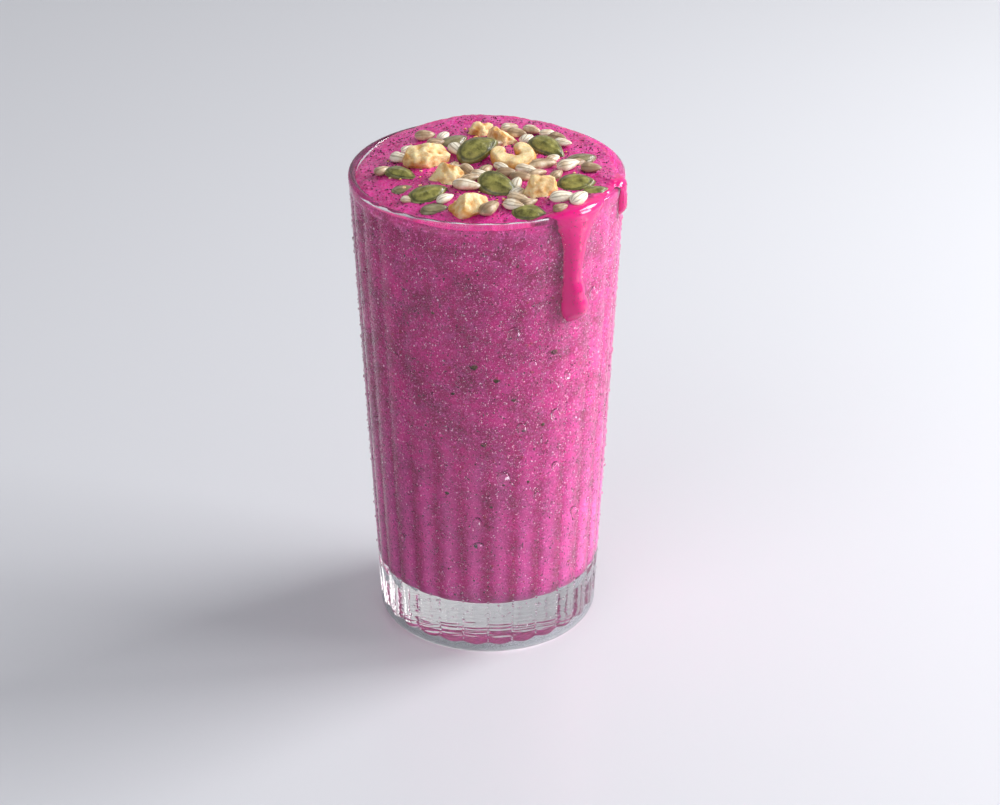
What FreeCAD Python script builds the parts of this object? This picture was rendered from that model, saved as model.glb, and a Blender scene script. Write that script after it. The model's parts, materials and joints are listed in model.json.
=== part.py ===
"""Dragon fruit smoothie in a tall reeded glass, topped with nuts and pumpkin seeds.

Millimetres. The origin is the centre of the foot on the table, +Z is up and -Y is the
front. Angles round the glass are counted from the front, positive towards +X.
"""

import FreeCAD, Part

import math
import os

import Sketcher
from FreeCAD import Placement, Rotation, Vector

SIZES = {
    # the glass
    "glass_height": 149.2,
    "rim_radius": 41.0,
    "foot_radius": 34.4,
    "wall": 2.3,
    "base_thickness": 17.0,
    "floor_round": 6.0,
    "lip_round": 1.0,
    "lip_height": 3.4,
    "reed_count": 28,
    "reed_depth": 0.6,
    "reed_inset": 0.1,
    "run_out": 2.4,
    "heel_height": 3.6,
    "heel_round": 2.6,
    "punt_rim": 8.4,
    "punt_depth": 0.4,
    # the drink
    "wall_gap": 0.05,
    "flange": 1.4,
    "heap": 1.3,
    "ripple": 0.2,
    # the long drip
    "drip_angle": 40.5,
    "drip_drop": 34.4,
    "drip_width": 6.0,
    "drip_stand": 2.3,
    "bead_width": 8.4,
    "bead_stand": 3.4,
    "spill_width": 21.0,
    "spill_stand": 1.1,
    # the short drip
    "short_angle": 76.0,
    "short_drop": 9.5,
    "short_width": 4.2,
    "short_stand": 1.3,
    "short_bead_width": 5.0,
    "short_bead_stand": 1.7,
    "short_spill_width": 9.0,
    "short_spill_stand": 0.9,
    # the toppings
    "seed_length": 11.6,
    "seed_width": 7.0,
    "seed_thickness": 2.7,
    "nut_size": 10.0,
    "nut_height": 6.6,
    "curved_nut_radius": 3.6,
    "curved_nut_thickness": 4.2,
}

# How far the drink stands above (+) or below (-) the rim where it meets the glass.
EDGE_HEIGHTS = [
    (0, -2.5),
    (22, -2.2),
    (38, 0.9),
    (58, 0.8),
    (68, 0.3),
    (77, 0.8),
    (95, -0.7),
    (130, 0.2),
    (158, 1.4),
    (192, 1.6),
    (218, 0.3),
    (250, -1.6),
    (310, -2.3),
]

# Pumpkin seeds: x, y, share of a whole seed's size, turn, tilt, and height over the drink.
SEEDS = [
    (-25, -6, 0.86, -30, 10, 0.4),
    (-17, -20, 1.00, 22, 20, 0.6),
    (-15, -27.5, 0.70, 14, 8, 0.2),
    (-10, 16, 0.76, 27, 16, 0.6),
    (-3, 6, 1.12, 34, 28, 2.6),
    (3, -18, 1.10, -34, 28, 1.6),
    (18, 11, 1.06, -34, 22, 1.4),
    (28, 5, 0.76, 14, 10, 0.6),
    (25.5, -14.5, 0.95, 14, 20, 1.0),
    (31, -17.5, 0.68, 18, 10, -0.3),
    (12, -31, 0.84, -4, 22, 0.5),
    (-24, -14, 0.68, 24, 8, -0.4),
]

# Chopped nuts: x, y, share of the full size and height, turn, and the cuts' first angle.
NUTS = [
    (-18, 3, 1.14, 1.00, 20, 10),
    (-12, -10, 0.86, 0.95, -15, 40),
    (-5, -28, 1.00, 0.92, 35, 75),
    (15, -19, 0.84, 1.10, 50, 20),
    (-2, 26, 0.82, 0.62, 10, 55),
    (4, 19, 0.78, 0.84, -35, 90),
]

# The places above and here suit a drink this much across; they spread with its width.
PLACED_RADIUS = 38.7
CURVED_NUT = (7, 2)
CURVED_NUT_TURN = 200
CURVED_NUT_SWEEP = 285


# ---------------------------------------------------------------- the document's helpers

def make_sheet(doc):
    """The driving dimensions, one named cell each."""
    sheet = doc.addObject("Spreadsheet::Sheet", "Sizes")
    for row, (name, value) in enumerate(SIZES.items(), start=1):
        sheet.set(f"A{row}", name)
        sheet.set(f"B{row}", str(value))
        sheet.setAlias(f"B{row}", name)
    doc.recompute()
    return sheet


def origin_feature(body, role):
    return next(f for f in body.Origin.OriginFeatures if f.Role == role)


def new_sketch(body, name, plane, height="0"):
    """A sketch on one of the body's origin planes, lifted by an expression."""
    sketch = body.newObject("Sketcher::SketchObject", name)
    sketch.AttachmentSupport = [(origin_feature(body, plane), "")]
    sketch.MapMode = "FlatFace"
    sketch.setExpression("AttachmentOffset.Base.z", height)
    return sketch


def arc_between(start, end, radius):
    """The short arc from start to end that turns left (radius > 0) or right (< 0)."""
    half = (end - start) * 0.5
    rise = math.sqrt(radius * radius - half.Length ** 2)
    left = Vector(-half.y, half.x, 0).normalize()
    centre = start + half + left * math.copysign(rise, radius)
    middle = centre - left * radius
    return Part.Arc(start, middle, end)


def hold(sketch, kind, *args):
    """A dimension whose value is the expression given last."""
    *where, expression = args
    value = sketch.evalExpression(expression)
    index = sketch.addConstraint(Sketcher.Constraint(kind, *where, value))
    sketch.setExpression(f"Constraints[{index}]", expression)


def draw_outline(sketch, corners, arcs):
    """A closed outline whose corners and arc radii are expressions of the sheet.

    arcs gives the radius of each side that is an arc, by the number of its first corner.
    """
    points = [Vector(sketch.evalExpression(x), sketch.evalExpression(y), 0)
              for x, y in corners]
    count = len(points)
    starts = []
    for i, start in enumerate(points):
        end = points[(i + 1) % count]
        if i in arcs:
            radius = sketch.evalExpression(arcs[i])
            curve = arc_between(start, end, radius)
            sketch.addGeometry(curve, False)
            starts.append(1 if radius > 0 else 2)
        else:
            sketch.addGeometry(Part.LineSegment(start, end), False)
            starts.append(1)
    for i in range(count):
        following = (i + 1) % count
        sketch.addConstraint(Sketcher.Constraint(
            "Coincident", i, 3 - starts[i], following, starts[following]))
    for i, (x, y) in enumerate(corners):
        if x == "0":
            sketch.addConstraint(Sketcher.Constraint("PointOnObject", i, starts[i], -2))
        else:
            hold(sketch, "DistanceX", -1, 1, i, starts[i], x)
        if y == "0":
            sketch.addConstraint(Sketcher.Constraint("PointOnObject", i, starts[i], -1))
        else:
            hold(sketch, "DistanceY", -1, 1, i, starts[i], y)
    for i, radius in arcs.items():
        hold(sketch, "Radius", i, f"abs({radius})")


def revolve(body, name, sketch, kind="PartDesign::Revolution"):
    turned = body.newObject(kind, name)
    turned.Profile = sketch
    turned.ReferenceAxis = (sketch, ["V_Axis"])
    turned.Angle = 360
    return turned


# ---------------------------------------------------------------- the glass

def outer_radius(height):
    """The tapering outside of the glass at a height, both as expressions."""
    return (f"(Sizes.foot_radius + (Sizes.rim_radius - Sizes.foot_radius)"
            f" * ({height}) / Sizes.glass_height)")


def blank_outline(sketch):
    """The solid blank: punt, heel, waist under the reeds, and lip."""
    punt = "Sizes.foot_radius - Sizes.punt_rim"
    top = "Sizes.glass_height"
    core = "(Sizes.reed_inset + Sizes.reed_depth + 0.2)"
    heel_end = "(Sizes.heel_height + Sizes.run_out)"
    lip_start = "(Sizes.glass_height - Sizes.lip_height)"
    waist_end = "(Sizes.glass_height - Sizes.lip_height - Sizes.run_out)"
    corners = [
        ("0", "Sizes.punt_depth"),
        (f"({punt})", "0"),
        ("Sizes.foot_radius - Sizes.heel_round", "0"),
        (outer_radius("Sizes.heel_round"), "Sizes.heel_round"),
        (outer_radius("Sizes.heel_height"), "Sizes.heel_height"),
        (f"{outer_radius(heel_end)} - {core}", heel_end),
        (f"{outer_radius(waist_end)} - {core}", waist_end),
        (outer_radius(lip_start), lip_start),
        ("Sizes.rim_radius", top),
        ("0", top),
    ]
    punt_arc = f"-(({punt}) ^ 2 + Sizes.punt_depth ^ 2) / (2 * Sizes.punt_depth)"
    draw_outline(sketch, corners, {0: punt_arc, 2: "Sizes.heel_round * 1.02"})


def cavity_corners(gap):
    """The inside of the glass from its floor to the rim, kept a gap away from the wall."""
    low = "(Sizes.base_thickness + Sizes.floor_round)"
    low_radius = f"({outer_radius(low)} - Sizes.wall - {gap})"
    return [
        ("0", f"Sizes.base_thickness + {gap}"),
        (f"{low_radius} - Sizes.floor_round", f"Sizes.base_thickness + {gap}"),
        (low_radius, f"{low} + {gap}"),
    ]


def cavity_outline(sketch):
    above = "(Sizes.glass_height + 5)"
    corners = cavity_corners("0") + [
        (f"{outer_radius(above)} - Sizes.wall", above),
        ("0", above),
    ]
    draw_outline(sketch, corners, {1: "Sizes.floor_round * 1.001"})


def reed_outline(sketch, height):
    """One reed's section: a shallow bow outside and a flat back inside the waist.

    The bow passes through the crest and through the valleys half a pitch to each side.
    """
    crest = f"({outer_radius(height)} - Sizes.reed_inset)"
    valley = f"({crest} - Sizes.reed_depth)"
    valley_x = f"({valley} * cos(180 / Sizes.reed_count))"
    valley_y = f"({valley} * sin(180 / Sizes.reed_count))"
    rise = f"({crest} - {valley_x})"
    bow = f"(({rise} ^ 2 + {valley_y} ^ 2) / (2 * {rise}))"
    half_width = f"({valley_y} * 1.3)"
    back = f"({crest} - {bow} + sqrt({bow} ^ 2 - {half_width} ^ 2))"
    x = sketch.evalExpression(back)
    y = sketch.evalExpression(half_width)
    low, high = Vector(x, -y, 0), Vector(x, y, 0)
    sketch.addGeometry(Part.Arc(low, Vector(sketch.evalExpression(crest), 0, 0), high), False)
    sketch.addGeometry(Part.LineSegment(high, low), False)
    sketch.addConstraint(Sketcher.Constraint("Coincident", 0, 2, 1, 1))
    sketch.addConstraint(Sketcher.Constraint("Coincident", 1, 2, 0, 1))
    sketch.addConstraint(Sketcher.Constraint("Symmetric", 0, 1, 0, 2, -1))
    hold(sketch, "DistanceX", -1, 1, 1, 1, back)
    hold(sketch, "DistanceY", 1, 2, 1, 1, f"2 * {half_width}")
    hold(sketch, "Radius", 0, bow)


def rim_edges(shape, height):
    """The names of the edges that lie level at the top of the glass."""
    names = []
    for number, edge in enumerate(shape.Edges, start=1):
        box = edge.BoundBox
        if abs(box.ZMin - height) < 0.001 and abs(box.ZMax - height) < 0.001:
            names.append(f"Edge{number}")
    return names


def make_glass(doc, sheet):
    body = doc.addObject("PartDesign::Body", "glass")
    body.Label = "glass"

    blank = new_sketch(body, "BlankSketch", "XZ_Plane")
    blank_outline(blank)
    revolve(body, "Blank", blank)

    inside_heel = "Sizes.heel_height - 1"
    inside_lip = "Sizes.glass_height - Sizes.lip_height + 1"
    foot_end = new_sketch(body, "ReedFootSketch", "XY_Plane", inside_heel)
    reed_outline(foot_end, inside_heel)
    lip_end = new_sketch(body, "ReedLipSketch", "XY_Plane", inside_lip)
    reed_outline(lip_end, inside_lip)
    reed = body.newObject("PartDesign::AdditiveLoft", "Reed")
    reed.Profile = foot_end
    reed.Sections = [lip_end]
    reed.Ruled = True
    doc.recompute()

    reeds = body.newObject("PartDesign::PolarPattern", "Reeds")
    reeds.Originals = [reed]
    reeds.Axis = (origin_feature(body, "Z_Axis"), [""])
    reeds.Angle = 360
    reeds.setExpression("Occurrences", "Sizes.reed_count")
    body.Tip = reeds
    doc.recompute()
    solid_volume = body.Shape.Volume

    cavity = new_sketch(body, "CavitySketch", "XZ_Plane")
    cavity_outline(cavity)
    hollow = revolve(body, "Cavity", cavity, "PartDesign::Groove")
    doc.recompute()
    if body.Shape.Volume > 0.5 * solid_volume:
        raise RuntimeError("the cavity was not cut")

    lip = body.newObject("PartDesign::Fillet", "Lip")
    lip.Base = (hollow, rim_edges(hollow.Shape, sheet.glass_height))
    lip.setExpression("Radius", "min(Sizes.lip_round; 0.45 * Sizes.wall)")
    # Half a pitch of turn brings a valley between two reeds to the front.
    body.setExpression("Placement.Rotation.Angle", "180 / Sizes.reed_count")
    doc.recompute()
    return body


# ---------------------------------------------------------------- the drink

def drink_outline(sketch):
    """The drink up to well over the rim, with a flange that can lie on the lip."""
    shelf = "(Sizes.glass_height - Sizes.flange)"
    above = "(Sizes.glass_height + 6)"
    corners = cavity_corners("Sizes.wall_gap") + [
        (f"{outer_radius(shelf)} - Sizes.wall - Sizes.wall_gap", shelf),
        ("Sizes.rim_radius - 0.2", shelf),
        ("Sizes.rim_radius - 1.2", "Sizes.glass_height + 2.4"),
        ("Sizes.rim_radius - 1.2", above),
        ("0", above),
    ]
    draw_outline(sketch, corners, {1: "Sizes.floor_round * 1.001", 4: "3"})


def edge_height(angle):
    """The drink's height over the rim at an angle, eased between the listed places."""
    places = EDGE_HEIGHTS + [(EDGE_HEIGHTS[0][0] + 360, EDGE_HEIGHTS[0][1])]
    angle %= 360
    for (start, low), (end, high) in zip(places, places[1:]):
        if start <= angle <= end:
            share = (angle - start) / (end - start)
            return low + (high - low) * (1 - math.cos(math.pi * share)) / 2


def drink_level(sheet, x, y):
    """The height of the drink's top at a place: a low uneven heap that falls off the rim."""
    inside = sheet.rim_radius - sheet.wall
    out = math.hypot(x, y)
    angle = math.degrees(math.atan2(x, -y))
    to_edge = min(1, out / inside) ** 3
    ripple = math.sin(x / 4.1 + 0.7) * math.cos(y / 5.3) + math.sin((x + 2 * y) / 8.7)
    past_wall = max(0, out - inside) / sheet.wall
    fall = 3.2 * (1 - math.exp(-past_wall * past_wall))
    over_rim = (1 - to_edge) * sheet.heap + to_edge * edge_height(angle)
    return sheet.glass_height + over_rim + sheet.ripple * ripple - fall


def make_air(doc, sheet):
    """All that is over the drink, as a block whose underside is the drink's surface."""
    reach = sheet.rim_radius + 3
    steps = 52
    line = [reach * (2 * i / steps - 1) for i in range(steps + 1)]
    grid = [[Vector(x, y, drink_level(sheet, x, y)) for y in line] for x in line]
    surface = Part.BSplineSurface()
    surface.interpolate(grid)
    air = doc.addObject("Part::Feature", "AirOverDrink")
    air.Shape = surface.toShape().extrude(Vector(0, 0, 20))
    return air


def over_lip(sheet, along):
    """A place on the glass, that far along a line from the drink over the lip and down.

    Returns the radius, the height and the lean of the glass there, in degrees up from
    level. The line starts on the drink, runs level to the lip and bends down round it.
    """
    bend = sheet.wall / 2
    level = 4.0
    quarter = math.pi / 2 * bend
    centre = sheet.rim_radius - bend
    if along < level:
        return centre - level + along, sheet.glass_height, 90
    if along < level + quarter:
        lean = math.pi / 2 * (1 - (along - level) / quarter)
        return (centre + bend * math.cos(lean),
                sheet.glass_height - bend + bend * math.sin(lean), math.degrees(lean))
    drop = bend + along - level - quarter
    taper = (sheet.rim_radius - sheet.foot_radius) / sheet.glass_height
    return sheet.rim_radius - taper * drop, sheet.glass_height - drop, 0


def place_on_run(sheet, angle, along, across=0, lift=0):
    radius, height, lean = over_lip(sheet, along)
    around = math.radians(angle) + across / radius
    reach = radius + lift * math.cos(math.radians(lean))
    return Vector(reach * math.sin(around), -reach * math.cos(around),
                  height + lift * math.sin(math.radians(lean)))


def make_run(doc, sheet, name, sizes):
    """A run of drink that spills over the lip, narrows to a strand and ends in a bead.

    The sections are flat-bottomed ovals that follow the glass, sunk a little into it.
    """
    angle, drop, width, stand, bead, bead_stand, spill, spill_stand = sizes
    sunk = 0.5
    to_lip = 5.0
    end = to_lip + drop
    bead_at = end - bead * 0.56
    count = round(bead_at / 1.5)
    stations = [(bead_at * i / count, 1) for i in range(1, count + 1)]
    for turn in (20, 40, 60, 75, 84):
        round_off = math.radians(turn)
        stations.append((bead_at + (end - bead_at) * math.sin(round_off), math.cos(round_off)))
    wires = []
    for along, full in stations:
        spilling = math.exp(-(max(0, along - to_lip) / (0.175 * drop)) ** 1.4)
        beading = math.exp(-((along - bead_at) / (0.38 * bead)) ** 2)
        half = full / 2 * (width + (spill - width) * spilling + (bead - width) * beading)
        high = full * (stand + (spill_stand - stand) * spilling
                       + (bead_stand - stand) * beading)
        high *= min(1, 0.2 + 0.8 * along / (to_lip - 2))
        points = []
        for step in range(16):
            turn = math.radians(22.5 * step)
            lift = high * math.cos(turn) if math.cos(turn) > 0 else sunk * math.cos(turn)
            points.append(place_on_run(sheet, angle, along, half * math.sin(turn), lift))
        curve = Part.BSplineCurve()
        curve.interpolate(Points=points, PeriodicFlag=True)
        wires.append(Part.Wire([curve.toShape()]))
    inside_drink = Part.Vertex(place_on_run(sheet, angle, 0, 0, -0.6))
    run = doc.addObject("Part::Feature", name)
    run.Shape = Part.makeLoft([inside_drink] + wires, True, True)
    return run


# ---------------------------------------------------------------- the toppings

def spread(sheet, x, y):
    share = (sheet.rim_radius - sheet.wall) / PLACED_RADIUS
    return x * share, y * share


def make_seed(doc, sheet, number, place):
    """A pumpkin seed: a flat drop with one narrow end, lofted through ovals."""
    x, y, share, turn, tilt, height = place
    x, y = spread(sheet, x, y)
    length = sheet.seed_length * share
    width = sheet.seed_width * share
    thickness = sheet.seed_thickness * share
    wires = []
    for along in (-0.99, -0.9, -0.65, -0.3, 0.1, 0.5, 0.82, 0.97):
        full = (1 - along * along) ** 0.55 * (1 - 0.18 * along)
        oval = Part.Ellipse(Vector(0, 0, 0), width / 2 * full, thickness / 2 * full)
        wire = Part.Wire([oval.toShape()])
        wire.Placement = Placement(Vector(along * length / 2, 0, 0),
                                   Rotation(Vector(0, 1, 0), Vector(0, 0, 1), Vector(1, 0, 0)))
        wires.append(wire)
    seed = doc.addObject("Part::Feature", f"pumpkin_seed_{number:02d}")
    seed.Label = seed.Name
    seed.Shape = Part.makeLoft(wires, True, False)
    # The tilt shows the seed's flat face to the front, whichever way the seed is turned.
    spin = Rotation(Vector(0, 0, 1), turn)
    lean = Rotation(Vector(1, 0, 0), tilt)
    seed.Placement = Placement(Vector(x, y, drink_level(sheet, x, y) + height), lean * spin)
    return seed


def make_nut(doc, sheet, number, place):
    """A chopped nut: a rounded nut with flat broken faces round it and on top."""
    x, y, share, tall, turn, first_cut = place
    x, y = spread(sheet, x, y)
    width = sheet.nut_size * share
    height = sheet.nut_height * tall
    nut = Part.makeSphere(1)
    stretch = FreeCAD.Matrix()
    stretch.scale(width * 0.56, width * 0.46, height * 0.62)
    shape = nut.transformGeometry(stretch)
    block = width * 2
    for i, depth in enumerate((0.34, 0.40, 0.36, 0.42)):
        angle = first_cut + 90 * i + 14 * math.sin(2.1 * i + first_cut)
        slope = 62 + 12 * math.cos(1.7 * i + first_cut)
        cutter = Part.makeBox(block, block, block, Vector(-block / 2, -block / 2, 0))
        cutter.Placement = Placement(
            Vector(0, 0, 0), Rotation(Vector(0, 0, 1), angle) * Rotation(Vector(0, 1, 0), slope)
        ) * Placement(Vector(0, 0, width * depth), Rotation())
        shape = shape.cut(cutter)
    top = Part.makeBox(block, block, block, Vector(-block / 2, -block / 2, 0))
    top.Placement = Placement(Vector(0, 0, height * 0.42), Rotation(Vector(1, 0.4, 0), 14))
    bottom = Part.makeBox(block, block, block, Vector(-block / 2, -block / 2, -block))
    bottom.Placement = Placement(Vector(0, 0, -height * 0.5), Rotation(Vector(1, 0, 0), 6))
    shape = shape.cut(top).cut(bottom)
    chopped = doc.addObject("Part::Feature", f"nut_piece_{number:02d}")
    chopped.Label = chopped.Name
    chopped.Shape = shape
    lift = height * 0.28
    chopped.Placement = Placement(Vector(x, y, drink_level(sheet, x, y) + lift),
                                  Rotation(Vector(0, 0, 1), turn))
    return chopped


def make_curved_nut(doc, sheet, number):
    """A piece of curved nut: a thick bow with rounded ends, tipped up at its back."""
    x, y = spread(sheet, *CURVED_NUT)
    ring = sheet.curved_nut_radius
    thick = sheet.curved_nut_thickness / 2
    count = 16
    sections = []
    for i in range(count + 1):
        turn = math.radians(CURVED_NUT_SWEEP * i / count)
        out = Vector(math.cos(turn), math.sin(turn), 0)
        full = math.sqrt(1 - abs(2 * i / count - 1) ** 5)
        if full > 0:
            ring_at = Part.Circle(out * ring, Vector(-out.y, out.x, 0), thick * full)
            sections.append(Part.Wire([ring_at.toShape()]))
        else:
            sections.append(Part.Vertex(out * ring))
    piece = doc.addObject("Part::Feature", f"nut_piece_{number:02d}")
    piece.Label = piece.Name
    piece.Shape = Part.makeLoft(sections, True, False)
    height = drink_level(sheet, x, y) + thick * 0.9
    piece.Placement = Placement(Vector(x, y, height),
                                Rotation(Vector(1, 0, 0), 18)
                                * Rotation(Vector(0, 0, 1), CURVED_NUT_TURN))
    return piece


def cut_away(doc, name, base, tool):
    cut = doc.addObject("Part::Cut", name)
    cut.Base = base
    cut.Tool = tool
    return cut


def make_drink(doc, sheet, glass, toppings):
    """The drink up to its level, with the runs over the lip, cut round all it touches."""
    body = doc.addObject("PartDesign::Body", "DrinkFill")
    outline = new_sketch(body, "DrinkSketch", "XZ_Plane")
    drink_outline(outline)
    revolve(body, "Fill", outline)
    doc.recompute()

    levelled = cut_away(doc, "LevelledDrink", body, make_air(doc, sheet))
    long_run = make_run(doc, sheet, "LongRun", (
        sheet.drip_angle, sheet.drip_drop, sheet.drip_width, sheet.drip_stand,
        sheet.bead_width, sheet.bead_stand, sheet.spill_width, sheet.spill_stand))
    short_run = make_run(doc, sheet, "ShortRun", (
        sheet.short_angle, sheet.short_drop, sheet.short_width, sheet.short_stand,
        sheet.short_bead_width, sheet.short_bead_stand, sheet.short_spill_width,
        sheet.short_spill_stand))
    poured = doc.addObject("Part::MultiFuse", "PouredDrink")
    poured.Shapes = [cut_away(doc, f"{part.Name}OffGlass", part, glass)
                     for part in (levelled, long_run, short_run)]
    around = doc.addObject("Part::Compound", "AroundDrink")
    around.Links = toppings
    drink = cut_away(doc, "smoothie", poured, around)
    drink.Label = "smoothie"
    doc.recompute()
    return drink


# ---------------------------------------------------------------- the whole

def check(doc, parts):
    for item in doc.Objects:
        if {"Invalid", "Error"} & set(item.State):
            raise RuntimeError(f"{item.Name} did not build: {item.State}")
    for part in parts:
        shape = part.Shape
        if shape.isNull() or not shape.isValid() or len(shape.Solids) != 1:
            raise RuntimeError(f"{part.Label}: {len(shape.Solids)} solids")
        box = shape.optimalBoundingBox(False)
        print(f"{part.Label}: {shape.Volume:.0f} mm3, {len(shape.Faces)} faces,"
              f" z {box.ZMin:.1f} to {box.ZMax:.1f}")


def main():
    doc = FreeCAD.newDocument("smoothie")
    sheet = make_sheet(doc)
    glass = make_glass(doc, sheet)
    toppings = [make_seed(doc, sheet, i, place) for i, place in enumerate(SEEDS, start=1)]
    toppings += [make_nut(doc, sheet, i, place) for i, place in enumerate(NUTS, start=1)]
    toppings.append(make_curved_nut(doc, sheet, len(NUTS) + 1))
    drink = make_drink(doc, sheet, glass, toppings)
    parts = [glass, drink] + toppings
    check(doc, parts)
    os.makedirs("parts", exist_ok=True)
    for part in parts:
        part.Shape.exportStep(f"parts/{part.Label}.step")


main()
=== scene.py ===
"""Looks of a dragon fruit smoothie in a reeded glass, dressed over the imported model.

Metres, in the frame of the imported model: the origin is the centre of the foot, +Z is up
and -Y is the front. Angles round the glass are counted from the front, positive towards
+X. Sizes are written in millimetres and multiplied by MM.
"""

import json
import math

import bmesh
import bpy
import numpy as np
from mathutils import Euler, Matrix, Vector, noise

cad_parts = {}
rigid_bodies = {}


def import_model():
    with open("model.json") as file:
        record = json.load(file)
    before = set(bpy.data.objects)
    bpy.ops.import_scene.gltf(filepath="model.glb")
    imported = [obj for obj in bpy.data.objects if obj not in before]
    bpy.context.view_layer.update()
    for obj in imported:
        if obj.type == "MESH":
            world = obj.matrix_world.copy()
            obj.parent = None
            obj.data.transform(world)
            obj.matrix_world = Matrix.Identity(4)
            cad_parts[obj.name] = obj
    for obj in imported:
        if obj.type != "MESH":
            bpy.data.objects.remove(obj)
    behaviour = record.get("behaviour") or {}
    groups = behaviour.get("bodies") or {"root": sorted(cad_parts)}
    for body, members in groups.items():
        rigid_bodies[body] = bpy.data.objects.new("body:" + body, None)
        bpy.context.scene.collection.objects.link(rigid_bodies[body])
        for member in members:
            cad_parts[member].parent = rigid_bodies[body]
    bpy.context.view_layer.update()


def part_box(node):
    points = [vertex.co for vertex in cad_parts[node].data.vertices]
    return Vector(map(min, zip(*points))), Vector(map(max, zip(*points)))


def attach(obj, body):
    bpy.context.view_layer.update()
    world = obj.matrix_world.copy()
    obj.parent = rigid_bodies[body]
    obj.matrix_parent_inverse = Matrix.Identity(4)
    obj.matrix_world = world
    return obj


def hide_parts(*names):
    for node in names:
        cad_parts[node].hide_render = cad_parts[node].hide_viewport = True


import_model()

MM = 0.001
RNG = np.random.default_rng(7)

# ------------------------------------------------------------------ sizes, in millimetres

GLASS_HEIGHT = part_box("glass")[1][2] / MM
RIM_RADIUS = 41.0
FOOT_RADIUS = 34.4
WALL = 2.3
BASE_THICKNESS = 17.0
FLOOR_ROUND = 6.0
LIP_HEIGHT = 3.4
REED_COUNT = 28
REED_DEPTH = 0.6
REED_INSET = 0.1
RUN_OUT = 2.4
HEEL_HEIGHT = 3.6
HEEL_ROUND = 2.6
PUNT_RADIUS = FOOT_RADIUS - 8.4
PUNT_DEPTH = 0.4

# What follows from those: the radius inside the lip, the radius at the top of the lip, the
# height at which the round of the inner floor ends, and how finely the glass is divided.
INSIDE_RADIUS = RIM_RADIUS - WALL
LIP_AT = RIM_RADIUS - WALL / 2
FLOOR_TOP = BASE_THICKNESS + FLOOR_ROUND
TAPER = (RIM_RADIUS - FOOT_RADIUS) / GLASS_HEIGHT
COLUMNS = REED_COUNT * 16

# The drink: how far it reaches into the wall, so that no air shows between them, how high
# it heaps in the middle, how deep its ripples are, and where its edge stands.
INTO_WALL = 0.12
HEAP = 1.3
RIPPLE = 0.2

# The edge of the top: degrees round the glass, and height over the lip.
EDGE_HEIGHTS = [
    (0, -2.5), (22, -2.2), (38, 0.9), (58, 0.8), (68, 0.3), (77, 0.8), (95, -0.7),
    (130, 0.2), (158, 1.4), (192, 1.6), (218, 0.3), (250, -1.6), (310, -2.3),
]

# Runs over the lip. Each row is: how far past the top of the lip, the run's left and right
# edges in degrees round the glass, and how far its middle stands off the glass. Each run
# ends at its END, and outside a run its lift is NO_RUN.
NO_RUN = -1.2
LONG_RUN = [
    (-6.0, 24.5, 59.0, -1.0), (-2.0, 26.5, 58.0, 0.7), (0.0, 27.8, 57.0, 1.1),
    (2.0, 29.8, 54.0, 1.2), (4.5, 31.6, 50.2, 1.3), (8.0, 32.9, 46.8, 1.5),
    (12.0, 33.7, 44.6, 1.7), (17.0, 34.0, 43.4, 1.8), (21.0, 34.2, 42.9, 1.8),
    (26.6, 33.9, 44.8, 3.0), (30.3, 33.6, 46.6, 3.7),
]
LONG_END = 35.6
SHORT_RUN = [
    (-5.0, 69.0, 83.0, -0.6), (0.0, 70.5, 81.5, 0.9), (3.0, 72.8, 79.4, 1.1),
    (5.5, 73.0, 79.2, 1.4), (8.2, 72.6, 79.6, 1.55),
]
SHORT_END = 10.8

# Pumpkin seeds, in the order of their nodes: yaw, tilt towards the front, length, width,
# thickness, and look.
PUMPKIN_SEEDS = [
    (-28, 12, 10.2, 5.6, 3.0, "green"), (24, 22, 11.8, 7.2, 3.2, "green"),
    (14, 10, 8.4, 4.8, 2.6, "dull"), (30, 18, 9.0, 5.6, 2.8, "dull"),
    (34, 30, 13.2, 8.4, 3.8, "green"), (-32, 30, 12.6, 8.6, 3.8, "green"),
    (-34, 24, 12.2, 7.6, 3.4, "green"), (16, 10, 9.2, 5.4, 2.8, "dull"),
    (14, 22, 11.2, 7.2, 3.2, "green"), (17, 12, 8.4, 5.0, 2.6, "green"),
    (-4, 24, 10.2, 6.6, 3.0, "green"), (22, 8, 7.8, 4.6, 2.4, "dull"),
]

# Chopped nuts, likewise: width, depth, height, yaw and the seed of the way it broke.
CHOPPED_NUTS = [
    (12.4, 9.6, 8.2, 10, 3), (9.6, 8.2, 7.8, -15, 11), (10.6, 8.6, 7.0, 20, 6),
    (9.6, 8.4, 8.8, 35, 8), (9.0, 6.0, 4.6, 5, 12), (8.8, 6.8, 5.8, -30, 15),
]

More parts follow.
